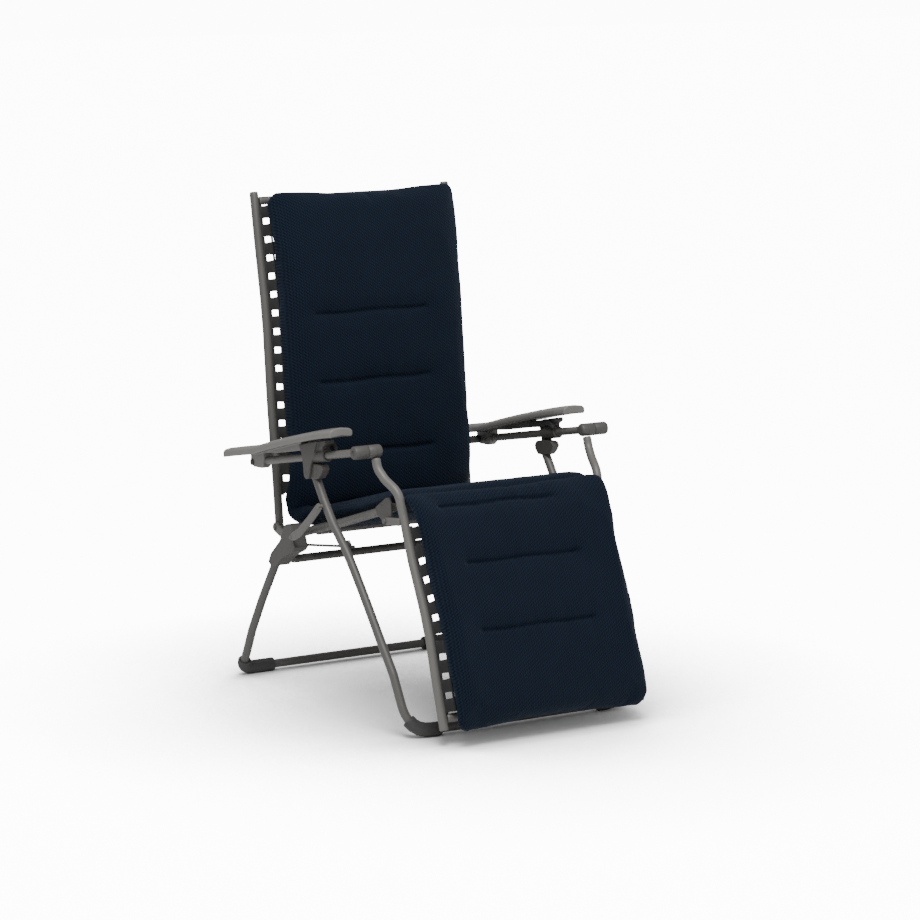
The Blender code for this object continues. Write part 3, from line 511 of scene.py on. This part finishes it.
# ---- Mouldings --------------------------------------------------------------------------
for side, sx in SIDES:
    ribs = [block(sx * 0.2815, sx * 0.2840, y, y + 0.0022, 0.308, 0.338)
            for y in (0.150, 0.157, 0.164, 0.171)]
    lugs = [screw((0.176, 0.306), sx, 0.3185, 0.3215, 0.0055), *ribs]
    moulded("knee_shell_" + side, "knee_bracket_" + side, "rear_frame", PLASTIC, extra=lugs,
            form=prism(KNEE_SHELL, sx, 0.2835, 0.3200))
    ridge = [block(sx * 0.3175, sx * 0.3210, -0.036, -0.032, 0.532, 0.560)]
    moulded("leg_cup_" + side, "leg_top_" + side, "front_frame", PLASTIC, extra=ridge,
            form=prism(CUP, sx, 0.2990, 0.3187))
    boss = screw((-0.004, 0.5345), sx, 0.3250, 0.3272, 0.0052)
    moulded("arm_clamp_shell_" + side, "arm_clamp_" + side, "armrests", PLASTIC,
            extra=[boss], voxel=0.0011, smooth=5)
    rail = prism(PLATE_RAIL, sx, 0.3000, 0.3180)
    moulded("arm_plate_" + side, "armrest_" + side, "armrests", PLATE_PAINTED_LIGHT, voxel=0.0014, smooth=4,
            form=plate(sx), extra=[rail, prism(HOOK, sx, 0.2985, 0.3205)])
    moulded("front_foot_shell_" + side, "front_foot_" + side, "front_frame", DARK_PLASTIC,
            smooth=5)
    moulded("rear_foot_shell_" + side, "rear_foot_" + side, "rear_frame", DARK_PLASTIC, smooth=5)
    moulded("stay_clip_shell_" + side, "stay_clip_" + side, "front_frame", DARK_PLASTIC, smooth=4)
    moulded("lever_shell_" + side, "lock_lever_" + side, "lock_lever_" + side, DARK_PLASTIC,
            voxel=0.0007, smooth=9)
    moulded("seat_bracket_shell_" + side, "seat_bracket_" + side, "seat_frame", PLASTIC,
            extra=[screw((-0.235, 0.492), sx, 0.2650, 0.2672, 0.0045)], voxel=0.0008, smooth=5)
    moulded("seat_link_shell_" + side, "seat_link_" + side, "seat_frame", TAUPE, voxel=0.0008,
            smooth=5)
    for part, centre, profile, material, body, slot in (
            ("tee_inner_", ROD_FRONT, TEE_INNER, PLASTIC, "legrest", "plastic_taupe"),
            ("tee_outer_", ROD_FRONT, TEE_OUTER, PLASTIC, "arm_rods", "plastic_taupe"),
            ("rod_pin_", ROD_REAR, ROD_SPACER, DARK_PLASTIC, "rod_pins", "steel_zinc")):
        shell = build(part + "shell_" + side, *turned(centre, sx, profile), material)
        stands_for(shell, body, slot, part + side)


# ---- Rubber lacing ----------------------------------------------------------------------
def along(profile, distance):
    pts = [Vector(p) for p in profile]
    for a, b in zip(pts, pts[1:]):
        step = (b - a).length
        if distance <= step or b is pts[-1]:
            t = (b - a).normalized()
            return a + t * distance, t
        distance -= step


def strap(sx, profile, centre, tall, line, sign, thickness=STRAP_THICK):
    """One elastic strap: line is (x, forward offset, share of height) from the hem to the tube."""
    verts = []
    for i, (x, off, share) in enumerate(line):
        a, b = line[max(i - 1, 0)], line[min(i + 1, len(line) - 1)]
        run = Vector((b[0] - a[0], b[1] - a[1])).normalized()
        across = Vector((-run.y, run.x))
        for u, w in STRAP_RING:
            p, t = along(profile, centre + 0.5 * tall * share * u)
            normal = Vector((-t.y, t.x)) * sign
            push = 0.5 * thickness * w
            q = p + normal * (off + across.y * push)
            verts.append(at(sx * (x + across.x * push), q.x, q.y))
    return verts, ring_faces(len(line), len(STRAP_RING))


def lacing(name, sx, profile, start, count, line, sign, body, node_name, hem):
    """A row of straps, the hem cord they hang on and the dark edge strip on the tube."""
    tie = [(line[-2][0] + 0.001, line[-2][1], 1.0), (line[-1][0], line[-1][1], 1.0)]
    parts = []
    for i in range(count):
        centre = start + STRAP_START + i * STRAP_PITCH
        parts.append(strap(sx, profile, centre, STRAP_TALL, line, sign))
        parts.append(strap(sx, profile, centre + TIE_OFFSET, TIE_TALL, tie, sign, TIE_THICK))
    end = start + 2 * STRAP_START + (count - 1) * STRAP_PITCH
    cord = []
    for i in range(HEM_STEPS + 1):
        p, t = along(profile, start + (end - start) * i / HEM_STEPS)
        normal = Vector((-t.y, t.x)) * sign
        q = p + normal * hem[1]
        cord.append(at(sx * hem[0], q.x, q.y))
    parts.append(swept(cord, HEM_R, sides=12))
    if len(line) == len(SIDE_LINE):
        edge = []
        run = end - start + 2 * STRIP_MARGIN
        for i in range(HEM_STEPS + 1):
            p, t = along(profile, start - STRIP_MARGIN + run * i / HEM_STEPS)
            q = p + Vector((-t.y, t.x)) * sign * STRIP_OUT
            edge.append(at(sx * STRIP_X, q.x, q.y))
        parts.append(swept(edge, STRIP_R, sides=12))
    obj = build(name, *merged(parts), RUBBER)
    return stands_for(obj, body, "rubber_black", node_name)


SIDE_LINE = [(0.2240, 0.0235, 1.0), (0.2366, 0.0205, 1.0), (0.2400, 0.0155, 0.95),
             (0.2435, 0.0100, 0.93), (0.2470, 0.0058, 1.02), (0.2496, 0.0030, 1.15)]
SEAT_LINE = [(0.2150, -0.0030, 1.0), (0.2290, -0.0045, 1.0), (0.2330, -0.0062, 0.95),
             (0.2370, -0.0072, 0.95), (0.2404, -0.0078, 1.1)]
for side, sx in SIDES:
    lacing("back_straps_" + side, sx, BACK_RAIL, 0.085, 16, SIDE_LINE, 1, "backrest",
           "back_lacing_" + side, (0.2345, 0.0215))
    lacing("legrest_straps_" + side, sx, LEG_RAIL[4:], 0.030, 10, SIDE_LINE, -1, "legrest",
           "legrest_lacing_" + side, (0.2345, 0.0215))
    lacing("seat_straps_" + side, sx, SEAT_RAIL, 0.070, 8, SEAT_LINE, -1, "seat_frame",
           "seat_lacing_" + side, (0.2262, -0.0030))


# ---- Padded cushions --------------------------------------------------------------------
def fine_line(stations, step=0.004):
    """Smooth (y, z, half thickness) rows at even distances, with their distances."""
    data = np.array([s[:3] for s in stations])
    s = np.concatenate([[0], np.cumsum(np.hypot(*np.diff(data[:, :2], axis=0).T))])
    count = max(8, int(s[-1] / step))
    even = np.linspace(0, s[-1], count + 1)
    dense = np.stack([np.interp(even, s, data[:, k]) for k in range(3)], 1)
    width = SMOOTH_ROWS
    kernel = np.hanning(2 * width + 3)[1:-1]
    kernel /= kernel.sum()
    for _ in range(2):
        first, last = dense[0].copy(), dense[-1].copy()
        padded = np.concatenate([2 * first - dense[width:0:-1], dense,
                                 2 * last - dense[-2:-width - 2:-1]])
        dense = np.stack([np.convolve(padded[:, k], kernel, "valid") for k in range(3)], 1)
        dense[0], dense[-1] = first, last
    return even, dense


def cushion(name, stations, half_width, sign, body, node_name, seams=(), crown=0.004, seed=1,
            end_round=0.016, pull=0.004, movement=0.012, drop=0.016, top=1.0,
            square=(False, False)):
    """Stuffed pad: crowned, sides pulled in, puckered across each sewn channel."""
    even, line = fine_line(stations)
    length = even[-1]
    rows = len(even)
    tangent = np.gradient(line[:, :2], axis=0)
    tangent /= np.linalg.norm(tangent, axis=1)[:, None]
    normal = np.stack([-tangent[:, 1], tangent[:, 0]], 1) * sign
    columns = COLUMNS
    across = np.sin(np.linspace(-0.5, 0.5, columns + 1) * math.pi)
    across = 0.55 * across + 0.45 * np.linspace(-1, 1, columns + 1)
    verts, index = [], {}
    for i in range(rows):
        near_end = min(even[i], length - even[i])
        squared = square[0] if even[i] < 0.5 * length else square[1]
        end = math.sqrt(max(0.0, 1 - (1 - min(1.0, near_end / end_round)) ** 2))
        corner = (0.004 if squared else 0.018) * (1 - min(1.0, near_end / 0.030)) ** 2
        narrow = 1.0 - (1.0 - top) * max(0.0, even[i] / length - 0.55) / 0.45
        reach = narrow * (half_width - corner - pull * math.sin(math.pi * even[i] / length))
        for j, u in enumerate(across):
            edge = math.sqrt(max(0.0, 1 - abs(u) ** RIM_POWER))
            thick = line[i, 2] * end * edge
            bulge = crown * (1 - u * u) * min(1.0, near_end / 0.05)
            rim = thick < 1e-6
            for face in ((0,) if rim else (1, -1)):
                lift = face * thick + (bulge if face > 0 else -0.4 * bulge) * (not rim)
                lift -= drop * abs(u) ** DROP_POWER * min(1.0, near_end / 0.03)
                y, z = line[i, :2] + normal[i] * lift
                index[i, j, face] = len(verts)
                verts.append(at(u * reach, y, z))
            if rim:
                index[i, j, 1] = index[i, j, -1] = index[i, j, 0]
    faces = []
    for i in range(rows - 1):
        for j in range(columns):
            for face in (1, -1):
                quad = [index[i, j, face], index[i + 1, j, face], index[i + 1, j + 1, face],
                        index[i, j + 1, face]]
                quad = list(dict.fromkeys(quad))
                if len(quad) > 2:
                    faces.append(tuple(quad))
    obj = build(name, verts, faces, FABRIC, 180.0)
    voxel = obj.modifiers.new("voxel", "REMESH")
    voxel.mode, voxel.voxel_size = "VOXEL", COVER_VOXEL
    even_out = obj.modifiers.new("even_out", "SMOOTH")
    even_out.factor, even_out.iterations = 0.5, 4
    applied(obj)
    rest = np.zeros(len(obj.data.vertices) * 3)
    obj.data.vertices.foreach_get("co", rest)
    rest = rest.reshape(-1, 3)
    moved = rest.copy()
    moved = stuffed(obj, rest, movement)
    moved = sewn(moved, even, line, normal, seams, seed)
    obj.data.vertices.foreach_set("co", moved.ravel())
    sub = obj.modifiers.new("fine", "SUBSURF")
    sub.levels = sub.render_levels = 1
    applied(obj)
    weave(obj, even, line, normal)
    obj.data.shade_smooth()
    stands_for(obj, body, "mesh_fabric_navy", node_name)
    return obj


def nearest(points, even, line, normal):
    """Distance along the pad's middle line and height over it, for each point."""
    yz = points[:, 1:] - np.array([SHIFT, 0.0])
    s = np.zeros(len(yz))
    h = np.zeros(len(yz))
    for k in range(0, len(yz), 4000):
        part = yz[k:k + 4000]
        gap = np.linalg.norm(part[:, None] - line[None, :, :2], axis=2)
        best = gap.argmin(1)
        off = part - line[best, :2]
        h[k:k + 4000] = (off * normal[best]).sum(1)
        tangents = np.stack([normal[best, 1], -normal[best, 0]], 1)
        direction = np.sign((np.gradient(line[:, :2], axis=0)[best] * tangents).sum(1))
        s[k:k + 4000] = even[best] + direction * (off * tangents).sum(1)
    return s, h


def stuffed(obj, rest, movement):
    """Short inflation of the cover as cloth, its movement capped."""
    cloth = obj.modifiers.new("cover", "CLOTH")
    cloth.settings.use_pressure = True
    cloth.settings.uniform_pressure_force = CLOTH_PRESSURE
    cloth.settings.effector_weights.gravity = 0.0
    cloth.settings.quality = 4
    scene = bpy.context.scene
    for f in range(1, CLOTH_FRAMES + 1):
        scene.frame_set(f)
    graph = bpy.context.evaluated_depsgraph_get()
    out = np.zeros(len(rest) * 3)
    done = obj.evaluated_get(graph)
    done.data.vertices.foreach_get("co", out)
    obj.modifiers.clear()
    scene.frame_set(1)
    shift = out.reshape(-1, 3) - rest
    size = np.linalg.norm(shift, axis=1)[:, None]
    return rest + shift * np.minimum(1.0, movement / np.maximum(size, 1e-9))


def sewn(points, even, line, normal, seams, seed):
    """Presses the sewn channels in from both faces and gathers the cover beside them."""
    s, h = nearest(points, even, line, normal)
    x = points[:, 0]
    face = np.clip(h / 0.012, -1, 1)
    dip = np.zeros(len(points))
    for at_z, tilt, centre_x in seams:
        middle = np.interp(at_z, *sorted_pair(line[:, 1], even))
        wander = 0.0012 * np.sin(x * 37.0 + seed) + tilt * x
        gap = s - middle - wander
        ends = np.clip((SEAM_HALF - np.abs(x - centre_x)) / 0.016, 0, 1)
        ends = ends * ends * (3 - 2 * ends)
        far = np.clip((SEAM_HALF + 0.05 - np.abs(x - centre_x)) / 0.09, 0, 1)
        dip += ends * SEAM_DEPTH * np.exp(-(gap / SEAM_WIDTH) ** 2)
        dip += far * far * (3 - 2 * far) * HOLLOW_DEPTH * np.exp(-(gap / HOLLOW_WIDTH) ** 2)
        gather = np.array([noise.noise(Vector((a * 46.0, seed * 3.1 + at_z * 9, b * 12.0)))
                           for a, b in zip(x, gap)])
        dip += ends * GATHER_DEPTH * gather * np.exp(-np.abs(gap) / GATHER_WIDTH)
    waves = np.array([noise.noise(Vector((a * 9.0, b * 13.0, seed * 5.0))) +
                      0.5 * noise.noise(Vector((a * 26.0, b * 22.0, seed * 7.0)))
                      for a, b in zip(x, s)])
    dip += WAVE_DEPTH * waves
    best = np.interp(s, even, np.arange(len(even)))
    k = np.clip(best.round().astype(int), 0, len(even) - 1)
    out = points.copy()
    out[:, 1:] -= normal[k] * (dip * face)[:, None]
    return out


def sorted_pair(values, other):
    order = np.argsort(values)
    return values[order], other[order]


def weave(obj, even, line, normal):
    """Cloth coordinates: across, along and above the pad, kept on the vertices."""
    count = len(obj.data.vertices)
    co = np.zeros(count * 3)
    obj.data.vertices.foreach_get("co", co)
    co = co.reshape(-1, 3)
    s, h = nearest(co, even, line, normal)
    flat = np.stack([co[:, 0], s, h], 1)
    layer = obj.data.attributes.new("weave", "FLOAT_VECTOR", "POINT")
    layer.data.foreach_set("vector", flat.ravel())


# Seams are (height, tilt, middle x)
back = cushion("back_cushion", BACK_PAD, 0.2540, 1, "backrest", "back_pad",
               seams=((0.860, 0.006, -0.026), (0.702, 0.006, -0.026), (0.539, 0.006, -0.026)),
               crown=0.006, seed=2, square=(True, False), pull=0.001)
seat = cushion("seat_cushion", SEAT_PAD, 0.2400, 1, "seat_frame", "seat_pad",
               seams=((0.4330, 0.0, 0.0), ), crown=0.004, seed=3, movement=0.007, drop=0.010,
               square=(True, True))
cushion("legrest_cushion", LEG_PAD, 0.2600, 1, "legrest", "legrest_pad",
        seams=((0.486, 0.006, -0.040), (0.371, 0.006, -0.012), (0.234, 0.006, -0.014)),
        crown=0.006, seed=5, top=0.965)
cushion("back_roll_cushion", BACK_ROLL, 0.2540, 1, "back_pins", "back_roll_pad", crown=0.002,
        seed=7, end_round=0.014, pull=0.001, movement=0.004, drop=0.010, square=(True, True))
cushion("front_roll_cushion", FRONT_ROLL, 0.2450, 1, "legrest_pins", "front_roll_pad",
        crown=0.003, seed=8, end_round=0.014, pull=0.001, movement=0.004, drop=0.010,
        square=(True, True))

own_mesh(seat)
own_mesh(back)

# ---- Studio: floor, light and camera ----------------------------------------------------
paper, paper_tree, paper_shader = new_material("studio_paper", 0.95, 0.0, 0.0)
paper_shader.inputs["Base Color"].default_value = (0.93, 0.93, 0.93, 1.0)
paper_shader.inputs["Emission Color"].default_value = (1.0, 1.0, 1.0, 1.0)
paper_rays = paper_tree.nodes.new("ShaderNodeLightPath")
# Camera-only glow keeps the floor white; ambient occlusion dims it near the chair, a painted
# contact shadow under the chair.
reach = node(paper_tree, "ShaderNodeAmbientOcclusion", samples=12, distance=0.9).outputs["AO"]
glow_with_painted_shadow = calc(paper_tree, "MULTIPLY", calc(paper_tree, "POWER", reach, 7.0), BACKDROP)
glow = calc(paper_tree, "MULTIPLY", paper_rays.outputs["Is Camera Ray"], glow_with_painted_shadow)
paper_tree.links.new(glow, paper_shader.inputs["Emission Strength"])
corners = [(x * FLOOR_HALF, y * FLOOR_HALF, FLOOR_Z)
           for x, y in ((-1, -1), (1, -1), (1, 1), (-1, 1))]
floor = build("studio_floor", corners, [(0, 1, 2, 3)], paper)
world = bpy.data.worlds.new("studio_world")
bpy.context.scene.world = world
world.use_nodes = True
sky = world.node_tree.nodes["Background"]
sky.inputs["Color"].default_value = (1.0, 1.0, 1.0, 1.0)
sky.inputs["Strength"].default_value = SKY
backdrop = world.node_tree.nodes.new("ShaderNodeBackground")
backdrop.inputs["Color"].default_value = (1.0, 1.0, 1.0, 1.0)
backdrop.inputs["Strength"].default_value = BACKDROP
rays = world.node_tree.nodes.new("ShaderNodeLightPath")
choose = world.node_tree.nodes.new("ShaderNodeMixShader")
links = world.node_tree.links
links.new(rays.outputs["Is Camera Ray"], choose.inputs[0])
links.new(sky.outputs[0], choose.inputs[1])
links.new(backdrop.outputs[0], choose.inputs[2])
links.new(choose.outputs[0], world.node_tree.nodes["World Output"].inputs[0])


def soft_light(name, place, aim, size, watts):
    lamp = bpy.data.lights.new(name, "AREA")
    lamp.shape, lamp.size, lamp.energy = "DISK", size, watts
    obj = bpy.data.objects.new(name, lamp)
    obj.location = place
    obj.rotation_euler = (Vector(aim) - Vector(place)).to_track_quat("-Z", "Y").to_euler()
    bpy.context.scene.collection.objects.link(obj)


soft_light("key_light", (-1.2, -1.9, 3.8), (0, 0, 0.5), 2.0, 165.0)

CAMERA_AT = Vector((-4.125, -6.5829, 1.856))
AZIMUTH, ELEVATION = math.radians(32.343), math.radians(9.559)
look = Vector((math.sin(AZIMUTH) * math.cos(ELEVATION), math.cos(AZIMUTH) * math.cos(ELEVATION),
               -math.sin(ELEVATION)))
lens = bpy.data.cameras.new("camera")
lens.lens, lens.sensor_width, lens.clip_end = 135.4, 36.0, 100.0
camera = bpy.data.objects.new("camera", lens)
camera.location = CAMERA_AT
camera.rotation_euler = look.to_track_quat("-Z", "Y").to_euler()
bpy.context.scene.collection.objects.link(camera)
bpy.context.scene.camera = camera
